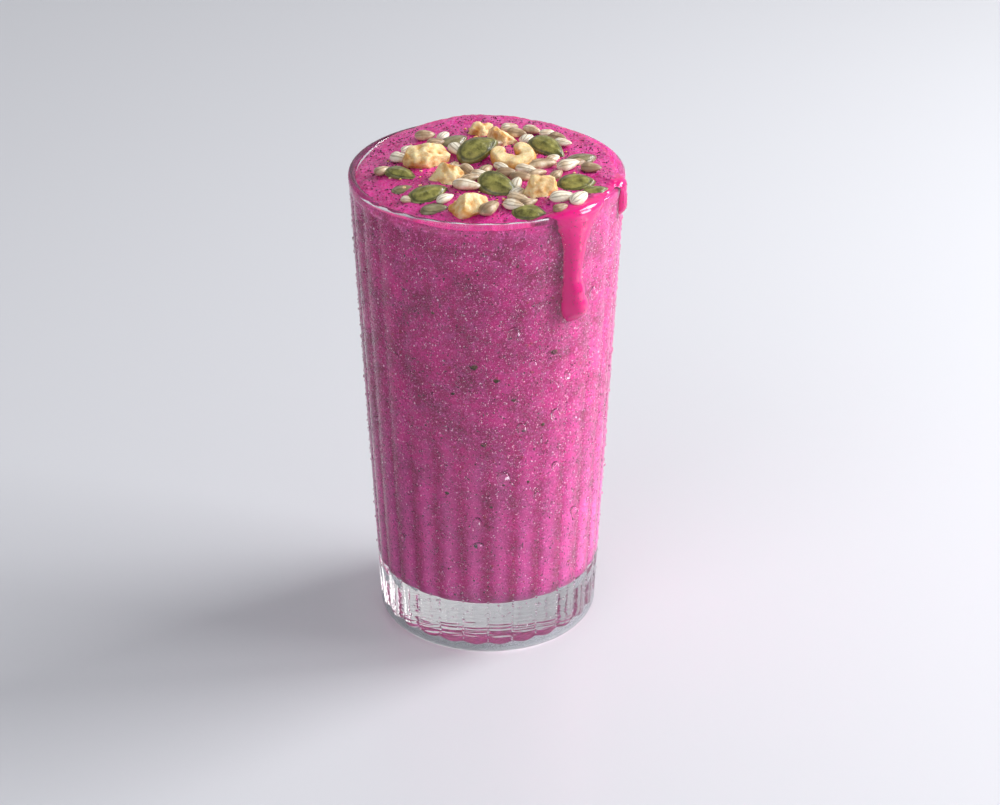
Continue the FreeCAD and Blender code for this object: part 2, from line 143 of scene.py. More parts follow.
# Sunflower kernels: x, y, length and yaw.
KERNELS = [
    (-18.6, 21.2, 6.6, 10), (-23.2, 12.5, 5.72, 35), (-25.7, 5.5, 6.6, -25),
    (-30.4, -2.9, 6.38, 40), (-15.2, 14.8, 5.94, 15), (-13.0, 21.5, 5.5, 60),
    (7.0, 27.0, 5.72, 20), (9.2, 22.7, 6.38, -20), (13.8, 24.3, 6.38, -35),
    (12.2, 17.9, 6.6, 65), (21.5, 20.0, 5.94, -30), (16.3, -1.6, 9.02, 12),
    (23.9, -3.2, 7.26, 25), (30.6, -4.6, 6.38, -10), (-5.6, -6.6, 6.6, -50),
    (-0.2, -6.0, 6.16, 60), (-5.7, -17.4, 8.8, -12), (5.6, -7.6, 6.38, 10),
    (10.2, -10.4, 7.26, -8), (8.9, -24.6, 6.6, -20), (7.7, -28.6, 6.6, -18),
    (0.8, -30.6, 8.36, 55), (-11.9, -24.0, 5.94, 35), (21.6, -25.2, 7.7, 15),
    (26.4, -26.6, 7.26, 50), (20.9, -31.2, 4.84, 30), (-9.0, 8.6, 7.04, -60),
    (-9.6, -1.6, 5.94, 70), (0.6, -12.6, 5.72, -30), (19.6, 4.2, 5.5, 45),
    (20.4, -9.4, 5.94, 60), (2.0, 13.6, 6.16, 20), (-22.4, -21.6, 5.06, -8),
    (8.4, -15.6, 6.82, 75), (-4.6, -11.6, 6.82, 25), (11.6, -5.2, 7.04, -20),
    (8.8, -20.4, 5.94, 50), (-1.8, -9.4, 6.38, -12), (14.8, -7.8, 6.38, 30),
    (26.8, 1.4, 5.28, 20), (22.8, 15.6, 5.94, -20), (18.4, 22.8, 5.06, 10),
    (-8.2, -4.2, 6.38, 15), (12.0, -27.2, 5.72, 30), (4.4, -3.4, 5.72, -40),
]

# Colours, linear.
PINK_DEEP = (0.27, 0.002, 0.085)
PINK = (0.62, 0.014, 0.240)
PINK_PALE = (0.94, 0.19, 0.60)
LILAC = (0.50, 0.10, 0.34)
TOP_DEEP = (0.54, 0.008, 0.180)
TOP_PINK = (0.78, 0.036, 0.32)
TOP_PALE = (0.96, 0.26, 0.62)
RUN_PINK = (0.74, 0.009, 0.21)
GLINT_PINK = (0.98, 0.70, 0.88)
NUT_CREAM = (0.92, 0.66, 0.29)
NUT_WHITE = (1.0, 0.87, 0.55)
NUT_GOLD = (0.82, 0.42, 0.10)
NUT_BROWN = (0.52, 0.20, 0.035)
KERNEL_GREY = (0.34, 0.225, 0.13)
KERNEL_BEIGE = (0.66, 0.49, 0.31)
KERNEL_IVORY = (0.95, 0.87, 0.70)
KERNEL_LINE = (0.20, 0.105, 0.045)

# Large water drops on the glass: angle, height, width and length.
LARGE_DROPS = [
    (11.5, 113.5, 4.4, 5.0), (15.5, 81.5, 3.4, 4.2), (32.0, 84.0, 3.4, 4.6),
    (7.3, 65.0, 4.2, 4.8), (-5.0, 49.0, 3.0, 4.4), (-4.5, 41.0, 3.4, 2.2),
    (-19.5, 81.0, 3.0, 2.8), (20.0, 103.0, 2.6, 3.2), (33.0, 66.0, 2.6, 3.4),
    (-8.0, 94.0, 2.0, 2.4), (52.0, 120.0, 3.4, 4.4), (38.0, 96.0, 2.4, 3.0),
    (46.0, 47.0, 2.8, 3.0), (24.0, 57.0, 2.4, 3.2), (-47.0, 37.0, 2.4, 3.0),
    (120.0, 96.0, 3.6, 4.6), (160.0, 70.0, 3.2, 4.4), (205.0, 110.0, 3.8, 4.6),
    (236.0, 60.0, 3.0, 3.8), (182.0, 44.0, 3.0, 4.0), (142.0, 122.0, 2.8, 3.4),
    (255.0, 88.0, 2.8, 3.6), (98.0, 58.0, 2.6, 3.4),
]

# Bits of leaf in the drink against the glass: angle, height and size.
LEAF_BITS = [
    (-6.0, 102.5, 3.25), (31.5, 105.0, 2.75), (4.0, 98.0, 2.375), (12.0, 91.0, 2.25),
    (-2.0, 76.0, 2.5), (27.0, 81.0, 2.25), (-20.0, 58.0, 2.0), (2.0, 54.0, 1.75),
    (13.0, 135.0, 1.75), (-24.0, 119.0, 1.625), (20.0, 62.0, 1.625), (-16.0, 93.0, 1.75),
    (115.0, 84.0, 2.75), (150.0, 104.0, 2.25), (190.0, 66.0, 2.5), (228.0, 98.0, 2.375),
    (252.0, 52.0, 2.0), (170.0, 128.0, 1.875), (208.0, 40.0, 1.875), (92.0, 118.0, 2.0),
]


# ------------------------------------------------------------------ mesh helpers

def linked(name, data):
    """A new object in the scene."""
    made = bpy.data.objects.new(name, data)
    bpy.context.scene.collection.objects.link(made)
    return made


def new_piece(name, vertices, faces, material, slot, stands_for=None):
    """A smooth-shaded piece from vertices in millimetres, in place of a CAD node if named."""
    mesh = bpy.data.meshes.new(name)
    mesh.from_pydata((np.asarray(vertices, float) * MM).tolist(), [], faces)
    mesh.validate()
    mesh.shade_smooth()
    piece = linked(name, mesh)
    mesh.materials.append(material)
    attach(piece, "root")
    if stands_for:
        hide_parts(stands_for)
    return piece


def ring_faces(rows, columns, offset=0, flip=False):
    """Quads between rings of vertices that close round."""
    faces = []
    for i in range(rows - 1):
        for j in range(columns):
            k = (j + 1) % columns
            a = offset + i * columns + j
            b = offset + i * columns + k
            quad = (a, b, b + columns, a + columns)
            faces.append(quad[::-1] if flip else quad)
    return faces


def fan_faces(ring_start, columns, tip, flip=False):
    """Triangles from a ring of vertices to one vertex."""
    faces = []
    for j in range(columns):
        tri = (ring_start + j, tip, ring_start + (j + 1) % columns)
        faces.append(tri[::-1] if flip else tri)
    return faces


def eased(places, at):
    """Values eased between (place, value) pairs, for a number or an array."""
    where = np.array([p for p, _ in places], float)
    value = np.array([v for _, v in places], float)
    at = np.asarray(at, float)
    spot = np.clip(np.searchsorted(where, at, side="right") - 1, 0, len(where) - 2)
    share = np.clip((at - where[spot]) / (where[spot + 1] - where[spot]), 0, 1)
    low, high = value[spot], value[spot + 1]
    return low + (high - low) * (1 - np.cos(np.pi * share)) / 2


def at_angle(radius, angle, height):
    """Points at angles in radians from the front, positive towards +X."""
    radius, angle, height = np.broadcast_arrays(radius, angle, height)
    return np.stack([radius * np.sin(angle), -radius * np.cos(angle), height], axis=-1)


def tube_faces(rows, columns, offset=0, flip=False):
    """Faces of rings of vertices, with a flat face at each end."""
    faces = ring_faces(rows, columns, offset, flip)
    last = offset + (rows - 1) * columns
    ends = [tuple(range(last, last + columns)), tuple(range(offset, offset + columns))[::-1]]
    return faces + [end[::-1] if flip else end for end in ends[::-1]]


def capped(rows, first_tip, last_tip, flip=False):
    """Vertices and faces of rings of COLUMNS vertices, closed by tips on the axis."""
    last = (len(rows) - 1) * COLUMNS
    tips = last + COLUMNS
    faces = ring_faces(len(rows), COLUMNS, flip=flip)
    faces += fan_faces(0, COLUMNS, tips, flip)
    faces += fan_faces(last, COLUMNS, tips + 1, not flip)
    return np.concatenate(rows + [np.array([[0, 0, first_tip], [0, 0, last_tip]])]), faces


def ring_angles(columns):
    """Angles evenly spaced round a circle, in radians."""
    return np.arange(columns) * 2 * math.pi / columns


# ------------------------------------------------------------------ the glass

def outer_radius(height):
    """The glass's outside without its reeds."""
    return FOOT_RADIUS + (RIM_RADIUS - FOOT_RADIUS) * height / GLASS_HEIGHT


def reed_radius(angle, height):
    """The reeded outside: shallow bows that meet in valleys, one of them at the front."""
    half = math.pi / REED_COUNT
    crest = outer_radius(height) - REED_INSET
    valley = crest - REED_DEPTH
    valley_x = valley * math.cos(half)
    valley_y = valley * math.sin(half)
    rise = crest - valley_x
    bow = (rise ** 2 + valley_y ** 2) / (2 * rise)
    centre = crest - bow
    off_crest = (angle % (2 * half)) - half
    return centre * np.cos(off_crest) + np.sqrt(bow ** 2 - (centre * np.sin(off_crest)) ** 2)


def glass_outside(angle, height):
    """The outside radius, with the smooth heel and lip that the reeds run out into."""
    reeds = reed_radius(angle, height)
    smooth = outer_radius(height)
    from_heel = np.clip((height - HEEL_HEIGHT) / RUN_OUT, 0, None)
    from_lip = np.clip((GLASS_HEIGHT - LIP_HEIGHT - height) / RUN_OUT, 0, None)
    depth = (REED_INSET + REED_DEPTH + 0.2) * np.minimum(from_heel, from_lip)
    collar = smooth - depth
    blend = 0.05
    top = np.maximum(reeds, collar)
    return top + blend * np.log1p(np.exp(-np.abs(reeds - collar) / blend)) * 0.4


def make_glass(material):
    """The glass in rings: punt, foot and heel, up the outside, over the lip, down inside."""
    angle = ring_angles(COLUMNS)
    lip = WALL / 2
    rows = []
    for share in np.linspace(0.08, 1, 7):
        reach = PUNT_RADIUS * share
        rows.append(at_angle(reach, angle, PUNT_DEPTH * (1 - share ** 2)))
    rows.append(at_angle(FOOT_RADIUS - HEEL_ROUND - 2, angle, 0.0))
    for turn in np.radians(np.linspace(0, 90, 7)):
        reach = outer_radius(HEEL_ROUND) - HEEL_ROUND * (1 - math.sin(turn))
        rows.append(at_angle(reach, angle, HEEL_ROUND * (1 - math.cos(turn))))
    lip_start = GLASS_HEIGHT - LIP_HEIGHT
    heights = np.concatenate([
        np.linspace(HEEL_HEIGHT - 0.4, HEEL_HEIGHT + RUN_OUT + 0.4, 9),
        np.linspace(HEEL_HEIGHT + RUN_OUT + 3, lip_start - RUN_OUT - 3, 34),
        np.linspace(lip_start - RUN_OUT - 0.4, lip_start + 0.4, 9),
    ])
    for height in heights:
        rows.append(at_angle(glass_outside(angle, height), angle, height))
    for turn in np.radians(np.linspace(0, 180, 11)):
        middle = outer_radius(GLASS_HEIGHT - lip) - lip
        rows.append(at_angle(middle + lip * math.cos(turn), angle,
                             GLASS_HEIGHT - lip + lip * math.sin(turn)))
    inside = outer_radius(FLOOR_TOP) - WALL
    for height in np.linspace(lip_start, FLOOR_TOP, 14):
        rows.append(at_angle(outer_radius(height) - WALL, angle, height))
    for turn in np.radians(np.linspace(15, 90, 6)):
        rows.append(at_angle(inside - FLOOR_ROUND * (1 - math.cos(turn)), angle,
                             FLOOR_TOP - FLOOR_ROUND * math.sin(turn)))
    for share in (0.75, 0.5, 0.25, 0.08):
        rows.append(at_angle((inside - FLOOR_ROUND) * share, angle, BASE_THICKNESS))
    new_piece("glass_body", *capped(rows, PUNT_DEPTH, BASE_THICKNESS), material, "glass",
              "glass")


# ------------------------------------------------------------------ the drink

def drink_lift(x, y):
    """How far the drink's top stands over the level of the rim, at places in millimetres."""
    out = np.hypot(x, y)
    angle = np.degrees(np.arctan2(x, -y)) % 360
    edge = eased(EDGE_HEIGHTS + [(360, EDGE_HEIGHTS[0][1])], angle)
    to_edge = np.minimum(1, out / INSIDE_RADIUS) ** 3
    ripple = np.sin(x / 4.1 + 0.7) * np.cos(y / 5.3) + np.sin((x + 2 * y) / 8.7)
    past_wall = np.maximum(0, out - INSIDE_RADIUS) / WALL
    fall = 3.2 * (1 - np.exp(-past_wall * past_wall))
    return (1 - to_edge) * HEAP + to_edge * edge + RIPPLE * ripple - fall


def over_lip(along):
    """Radius, height and lean (radians up from level) of a line from the axis over the lip."""
    bend = WALL / 2
    quarter = math.pi / 2 * bend
    lean = math.pi / 2 * (1 - np.clip((along - LIP_AT) / quarter, 0, 1))
    drop = np.maximum(0, along - LIP_AT - quarter)
    radius = np.where(along < LIP_AT, along, LIP_AT + bend * np.cos(lean) - TAPER * drop)
    height = np.where(along < LIP_AT, GLASS_HEIGHT,
                      GLASS_HEIGHT - bend + bend * np.sin(lean) - drop)
    return radius, height, lean


def run_lift(degrees, past, rows, end):
    """How far a run of drink stands off the glass; it sinks below nought outside the run."""
    places, lefts, rights, stands = np.array(rows).T
    left = eased(list(zip(places, lefts)), past)
    right = eased(list(zip(places, rights)), past)
    stand = eased(list(zip(places, stands)), past)
    middle = (left + right) / 2 + 0.25 * math.sin(past / 5.0)
    across = np.abs((degrees - middle) / (right - left) * 2)
    beyond = max(0.0, (past - places[-1]) / (end - places[-1]))
    return np.maximum(stand - np.maximum(stand, 0.8) * (across ** 2.4 + beyond ** 2.2), NO_RUN)


def joined(first, second, soft=0.22):
    """The higher of two surfaces, with a small fillet where they meet."""
    return np.maximum(first, second) + soft * np.log1p(np.exp(-np.abs(first - second) / soft))


def lumps(points, size, seed):
    """Perlin noise at points, from about -1 to 1, with features of the size given."""
    shift = Vector((seed * 17.3, seed * 5.1, seed * 9.7))
    return np.array([noise.noise(Vector(p) / size + shift) for p in points.tolist()])


def skin_angles():
    """Angles round the glass, closer together where drink runs down it."""
    degrees = np.concatenate([
        np.arange(24, 60, 0.15), np.arange(60, 69, 0.45), np.arange(69, 84, 0.2),
        np.arange(84, 384, 0.68),
    ])
    return np.radians(degrees % 360)


def skin_height(angle, along):
    """The skin's lift off the line over the lip, with the runs joined in."""
    radius, height, lean = over_lip(np.full(len(angle), along))
    top = at_angle(radius, angle, height)
    if along > LIP_AT:
        lift = drink_lift(*at_angle(LIP_AT, angle, 0.0)[:, :2].T) - 1.3 * (along - LIP_AT)
    else:
        lift = drink_lift(top[:, 0], top[:, 1])
    if along < LIP_AT + 2:
        fade = min(1.0, (LIP_AT + 2 - along) / 3)
        lift = lift + fade * (0.36 * lumps(top, 4.2, 1) + 0.24 * lumps(top, 1.7, 2)
                              + 0.05 * lumps(top, 0.8, 3))
    degrees = (np.degrees(angle) + 180) % 360 - 180
    for rows, end in ((LONG_RUN, LONG_END), (SHORT_RUN, SHORT_END)):
        own = run_lift(degrees, along - LIP_AT, rows, end)
        lift = np.where(own > NO_RUN + 0.05, joined(lift, own), lift)
    return radius, height, lean, lift


def make_drink_skin(material):
    """The skin of the drink: its top, what lies on the lip and what runs down the glass."""
    angle = skin_angles()
    columns = len(angle)
    inside = INSIDE_RADIUS + INTO_WALL
    rings = np.concatenate([np.linspace(0.9, 30, 40), np.linspace(30.6, 37.8, 13),
                            np.arange(38.1, LIP_AT + 4, 0.28),
                            np.arange(LIP_AT + 4, LIP_AT + 37, 0.36)])
    # The skin is kept where it stands over these lows, which sink into the glass.
    lows = -0.2 - 0.65 * np.clip((rings - LIP_AT - 2) / 3, 0, 1)
    top, under, keep = [], [], []
    for along, low in zip(rings, lows):
        radius, height, lean, lift = skin_height(angle, along)
        top.append(at_angle(radius + lift * np.cos(lean), angle, height + lift * np.sin(lean)))
        sunk = low + 0.06
        under.append(at_angle(radius + sunk * np.cos(lean), angle,
                              height + sunk * np.sin(lean)))
        keep.append((lift > low) | (along < inside))
    keep = np.array(keep)
    whole = keep[:-1] & keep[1:]
    whole &= np.roll(whole, -1, axis=1)
    count = len(rings)
    offset = count * columns
    faces = []
    for i, j in zip(*np.nonzero(whole)):
        i, j = int(i), int(j)
        k = (j + 1) % columns
        a, b = i * columns, (i + 1) * columns
        faces.append((a + j, b + j, b + k, a + k))
        if rings[i] > inside:
            faces.append((offset + a + j, offset + a + k, offset + b + k, offset + b + j))
    tip = [[0, 0, GLASS_HEIGHT + float(drink_lift(0.0, 0.0))]]
    vertices = np.concatenate(top + under + [np.array(tip)])
    faces += fan_faces(0, columns, 2 * offset, flip=True)
    used = np.unique(np.concatenate([np.array(f) for f in faces]))
    number = np.full(len(vertices), -1)
    number[used] = np.arange(len(used))
    faces = [tuple(int(number[v]) for v in f) for f in faces]
    new_piece("smoothie_skin", vertices[used], faces, material, "smoothie", "smoothie")


def fill_radius(height):
    """The drink's radius against the glass at a height, over the round of the floor."""
    return outer_radius(np.maximum(height, FLOOR_TOP)) - WALL + INTO_WALL


def make_drink_fill(material):
    """The body of the drink against the glass, up to where its top meets it."""
    angle = ring_angles(COLUMNS)
    edge = at_angle(INSIDE_RADIUS, angle, 0.0)
    edge_top = GLASS_HEIGHT + np.minimum(drink_lift(edge[:, 0], edge[:, 1]), -0.3)
    rows = [at_angle(INSIDE_RADIUS - 2, angle, edge_top - 0.4)]
    for share in np.linspace(0, 1, 60):
        height = edge_top + (FLOOR_TOP - edge_top) * share
        rows.append(at_angle(fill_radius(height), angle, height))
    for turn in np.radians(np.linspace(10, 90, 9)):
        reach = fill_radius(FLOOR_TOP) - FLOOR_ROUND * (1 - math.cos(turn))
        rows.append(at_angle(reach, angle,
                             FLOOR_TOP - (FLOOR_ROUND + INTO_WALL) * math.sin(turn)))
    shape = capped(rows, GLASS_HEIGHT - 2.5, BASE_THICKNESS - INTO_WALL, flip=True)
    new_piece("smoothie_fill", *shape, material, "smoothie", "smoothie")


# ------------------------------------------------------------------ scattered small things

def scatter_mesh(name, places, frames, unit, faces, material, slot):
    """Copies of a small unit mesh, each put through its own 3 by 3 frame, as one piece."""
    copies = np.einsum("nij,kj->nki", frames, unit) + places[:, None, :]
    vertices = copies.reshape(-1, 3)
    every = []
    for i in range(len(places)):
        start = i * len(unit)
        every += [tuple(start + v for v in face) for face in faces]
    new_piece(name, vertices, every, material, slot)


def scaled(*sizes):
    """Sizes along three axes, one row a piece."""
    return np.stack(sizes, axis=-1)


def upright_frames(sizes):
    """Frames along the world's axes, scaled by sizes."""
    return np.eye(3)[None] * sizes[:, None, :]


# An eight-sided grain, for the smallest and most numerous things.
GRAIN = np.array([(1, 0, 0), (0, 1, 0), (-1, 0, 0), (0, -1, 0), (0, 0, 1), (0, 0, -1)], float)
GRAIN_FACES = [(0, 1, 4), (1, 2, 4), (2, 3, 4), (3, 0, 4), (1, 0, 5), (2, 1, 5), (3, 2, 5),
               (0, 3, 5)]


def wall_frames(angle, sizes):
    """Frames of a tangent, an upright and a normal on the glass, scaled by sizes."""
    slope = math.atan(TAPER)
    tangent = np.stack([np.cos(angle), np.sin(angle), np.zeros_like(angle)], axis=-1)
    normal = at_angle(math.cos(slope), angle, -math.sin(slope))
    upright = np.cross(normal, tangent)
    upright *= np.sign(upright[:, 2:3])
    return np.stack([tangent, upright, normal], axis=-1) * sizes[:, None, :]


def dome(segments, turns, skirt=-24):
    """A drop on a surface: rings from a sunk skirt to a tip, one unit in size each way."""
    vertices = []
    turns = [skirt] + list(turns)
    for turn in np.radians(turns):
        for i in range(segments):
            round_at = 2 * math.pi * i / segments
            reach = math.cos(turn) ** 0.8
            vertices.append((reach * math.cos(round_at), reach * math.sin(round_at),
                             math.sin(turn)))
    vertices.append((0, 0, 1))
    faces = ring_faces(len(turns), segments)
    faces += fan_faces((len(turns) - 1) * segments, segments, len(vertices) - 1, flip=True)
    faces.append(tuple(range(segments))[::-1])
    return np.array(vertices), faces


def inside_glass(angle, height, sunk, *sizes):
    """Places on the drink's side, sunk into it, and the frames there."""
    return (at_angle(fill_radius(height) - sunk, angle, height),
            wall_frames(angle, scaled(*sizes)))


def drops_at(name, angle, height, width, length, stand, unit, faces, material):
    """Drops on the outside of the glass, as one piece."""
    place = at_angle(glass_outside(angle, height), angle, height)
    sizes = scaled(width / 2, length / 2, stand)
    scatter_mesh(name, place, wall_frames(angle, sizes), unit, faces, material, "glass")


def thinned(count, low, high, likely):
    """Angles and heights drawn on the glass, kept by how likely a place is to have one."""
    angle = RNG.uniform(0, 2 * math.pi, count * 3)
    height = RNG.uniform(low, high, count * 3)
    kept = np.nonzero(RNG.uniform(0, 1, count * 3) < likely(angle, height))[0][:count]
    return angle[kept], height[kept]


def make_condensation(material):
    """Water on the outside of the glass: mist, beads, rows in the valleys and big drops."""
    def wet(angle, height):
        above = 0.28 + 0.72 * np.clip((height - 42) / 38, 0, 1)
        return above * (0.62 + 0.38 * np.cos(angle - math.radians(38)))

    angle, height = thinned(7600, 9, GLASS_HEIGHT - 5, wet)
    size = 0.34 + 0.50 * RNG.uniform(0, 1, len(angle)) ** 2.2
    unit, faces = dome(6, [38])
    drops_at("condensation_mist", angle, height, size, size * RNG.uniform(0.9, 1.3, len(angle)),
             size * 0.40, unit, faces, material)

    pitch = 2 * math.pi / REED_COUNT
    angles, heights, widths, lengths = [], [], [], []
    for reed in range(REED_COUNT):
        height = 4.5 + RNG.uniform(0, 2)
        while height < GLASS_HEIGHT - 6:
            angles.append(pitch * reed + RNG.normal(0, 0.1) / RIM_RADIUS)
            heights.append(height)
            widths.append(RNG.uniform(0.45, 0.95))
            lengths.append(widths[-1] * RNG.uniform(1.0, 1.9))
            height += RNG.uniform(1.1, 3.2)
    spare = 700
    angles += list(RNG.uniform(0, 2 * math.pi, spare))
    heights += list(RNG.uniform(20, GLASS_HEIGHT - 7, spare))
    widths += list(0.6 + 0.7 * RNG.uniform(0, 1, spare) ** 2)
    lengths += [w * RNG.uniform(0.9, 1.35) for w in widths[-spare:]]
    angles, heights, widths, lengths = map(np.array, (angles, heights, widths, lengths))
    unit, faces = dome(8, [14, 48])
    drops_at("condensation_beads", angles, heights, widths, lengths, widths * 0.52, unit, faces,
             material)

    angle, height, width, length = np.array(LARGE_DROPS).T
    unit, faces = dome(28, [4, 14, 26, 38, 50, 62, 75], skirt=-26)
    lowered = unit.copy()
    lowered[:, 1] -= 0.16 * (1 - unit[:, 0] ** 2) * np.clip(unit[:, 2], 0, 1)
    drops_at("condensation_drops", np.radians(angle), height, width, length,
             np.minimum(width, length) * 0.46, lowered, faces, material)


def make_fruit_seeds(material):
    """The tiny black seeds: against the glass, over the top and in the runs."""
    count = 12800
    angle = RNG.uniform(0, 2 * math.pi, count)
    height = RNG.uniform(BASE_THICKNESS + 2.5, GLASS_HEIGHT - 2.6, count)
    size = RNG.uniform(0.19, 0.36, count) * np.where(RNG.uniform(0, 1, count) < 0.05, 1.6, 1.0)
    into = np.clip(FLOOR_TOP - height, 0, FLOOR_ROUND)
    bend = FLOOR_ROUND - np.sqrt(FLOOR_ROUND ** 2 - into ** 2)
    place, frames = inside_glass(angle, height, bend + 0.3 * size, size, size * 1.25,
                                 size * 0.8)

    out = 37.5 * np.sqrt(RNG.uniform(0, 1, 2300))
    turn = RNG.uniform(0, 2 * math.pi, len(out))
    top = at_angle(out, turn, 0.0)
    top[:, 2] = GLASS_HEIGHT + drink_lift(top[:, 0], top[:, 1]) + 0.34 * lumps(
        at_angle(out, turn, GLASS_HEIGHT), 4.2, 1) + 0.05
    grain = RNG.uniform(0.15, 0.30, len(out))
    flat = upright_frames(scaled(grain, grain * 1.2, grain * 0.7))

    run_places = []
    for rows, end, number in ((LONG_RUN, LONG_END, 130), (SHORT_RUN, SHORT_END, 26)):
        lefts = [(row[0], row[1]) for row in rows]
        rights = [(row[0], row[2]) for row in rows]
        for _ in range(number):
            past = RNG.uniform(0.5, end - 1.5)
            share = RNG.uniform(0.12, 0.88)
            left, right = float(eased(lefts, past)), float(eased(rights, past))
            degrees = left + (right - left) * share
            around = np.radians(np.array([degrees]))
            radius, height, lean, lift = skin_height(around, LIP_AT + past)
            reach = radius + (lift - 0.03) * np.cos(lean)
            run_places.append(at_angle(reach, around, height + lift * np.sin(lean))[0])
    run_places = np.array(run_places)
    run_angle = np.arctan2(run_places[:, 0], -run_places[:, 1])
    grain = RNG.uniform(0.14, 0.24, len(run_places))
    run_frames = wall_frames(run_angle, scaled(grain, grain, grain * 0.8))

    scatter_mesh("fruit_seeds", np.concatenate([place, top, run_places]),
                 np.concatenate([frames, flat, run_frames]), GRAIN, GRAIN_FACES, material,
                 "smoothie")


def make_painted_glints(material):
    """Painted glints: pale specks of froth against the glass, thickest high up and to the right.
    """
    def thick(angle, height):
        above = 0.16 + 0.84 * np.clip((height - 38) / 40, 0, 1)
        return above * (0.58 + 0.42 * np.cos(angle - math.radians(35)))

    angle, height = thinned(8200, FLOOR_TOP, GLASS_HEIGHT - 6, thick)
    size = 0.10 + 0.13 * RNG.uniform(0, 1, len(angle)) ** 2
    place, frames = inside_glass(angle, height, 0.02, size,
                                 size * RNG.uniform(0.8, 1.9, len(size)), size * 0.8)
    # A painted glint, as a bubble of air, at the upper right of each large drop on the glass.
    turn, high, wide, tall = np.array(LARGE_DROPS).T
    turn = np.radians(turn) + 0.24 * wide / RIM_RADIUS
    high = high + 0.10 * tall
    caught = at_angle(glass_outside(turn, high) + 0.26 * np.minimum(wide, tall), turn, high)
    place = np.concatenate([place, caught])
    frames = np.concatenate([frames, wall_frames(turn, scaled(wide * 0.07, tall * 0.15,
                                                              wide * 0.06))])
    scatter_mesh("painted_glints", place, frames, GRAIN, GRAIN_FACES, material, "smoothie")


def ball(level):
    """A unit icosphere's vertices and faces."""
    shape = bmesh.new()
    bmesh.ops.create_icosphere(shape, subdivisions=level, radius=1.0)
    vertices = np.array([v.co[:] for v in shape.verts])
    faces = [tuple(v.index for v in face.verts) for face in shape.faces]
    shape.free()
    return vertices, faces


def make_bits(leaf, skin):
    """Flecks of leaf and of fruit skin that show through the glass."""
    unit, faces = ball(2)
    ragged = unit * (1 + 0.35 * lumps(unit * 10, 6.0, 4))[:, None]
    angle, height, size = np.array(LEAF_BITS).T
    angle = np.radians(angle)
    held = inside_glass(angle, height, 0.06, size * 0.36, size * 0.28, size * 0.12)
    scatter_mesh("leaf_bits", *held, ragged, faces, leaf, "smoothie")
    count = 420
    angle = RNG.uniform(0, 2 * math.pi, count)
    height = RNG.uniform(FLOOR_TOP, GLASS_HEIGHT - 4, count)
    size = 0.5 + 0.9 * RNG.uniform(0, 1, count) ** 2
    held = inside_glass(angle, height, 0.04, size * 0.42, size * 0.4, size * 0.12)
    scatter_mesh("skin_flecks", *held, ragged, faces, skin, "smoothie")


# ------------------------------------------------------------------ toppings

def set_attribute(piece, name, values):
    """A number at each vertex, which the piece's material reads."""
    layer = piece.data.attributes.new(name, "FLOAT", "POINT")
    layer.data.foreach_set("value", np.asarray(values, np.float32))


def middle_of(name):
    """The middle of a CAD node's box, in millimetres."""
    low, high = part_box(name)
    return (np.array(low) + np.array(high)) / 2 / MM


def lowered_into(points, name):
    """Points let down until they are no higher than the CAD node's box."""
    over = points[:, 2].max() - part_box(name)[1][2] / MM
    points[:, 2] -= max(0.0, over)
    return points


def turned(points, place, yaw, tilt=0.0, roll=0.0):
    """Points turned about Z, then tipped about X towards the front, then put in place."""
    turn = Matrix.Identity(3)
    for degrees, axis in ((tilt, "X"), (yaw, "Z"), (roll, "X")):
        turn = turn @ Matrix.Rotation(math.radians(degrees), 3, axis)
    return np.asarray(points) @ np.array(turn).T + np.asarray(place)


def make_pumpkin_seed(name, values, materials, seed):
    """A flat seed with a pointed end, a raised rim round both faces and slightly uneven."""
    yaw, tilt, length, width, thick, look = values
    unit, faces = ball(5)
    share = np.minimum(1, np.hypot(unit[:, 0], unit[:, 1]))
    along = unit[:, 0] / np.maximum(share, 1e-6)
    crown = (1 - share ** 3.0) ** 0.55
    ridge = 0.085 * np.exp(-((share - 0.90) / 0.05) ** 2)
    spine = 0.10 * np.exp(-(unit[:, 1] / 0.16) ** 2) * (1 - share ** 2)
    points = np.stack([
        length / 2 * unit[:, 0] * (1 + 0.10 * np.clip(along, 0, 1) ** 10),
        width / 2 * unit[:, 1] * (1 - 0.20 * along * share),
        thick / 2 * np.sign(unit[:, 2]) * (crown * 0.92 + ridge + spine) * (share < 0.9999),
    ], axis=-1)
    dent = lumps(points, 3.6, seed) * 0.34 + lumps(points, 1.4, seed + 9) * 0.10
    points[:, 2] += dent * unit[:, 2]
    points[:, 1] += 0.014 * points[:, 0] ** 2 * (1 if seed % 2 else -1)
    points[:, 2] -= 0.010 * points[:, 0] ** 2
    laid = lowered_into(turned(points, middle_of(name), yaw, tilt), name)
    piece = new_piece("pepita_" + name[-2:], laid, faces, materials[look], "pumpkin_seed", name)
    set_attribute(piece, "edge", share)
    set_attribute(piece, "streak", unit[:, 1])


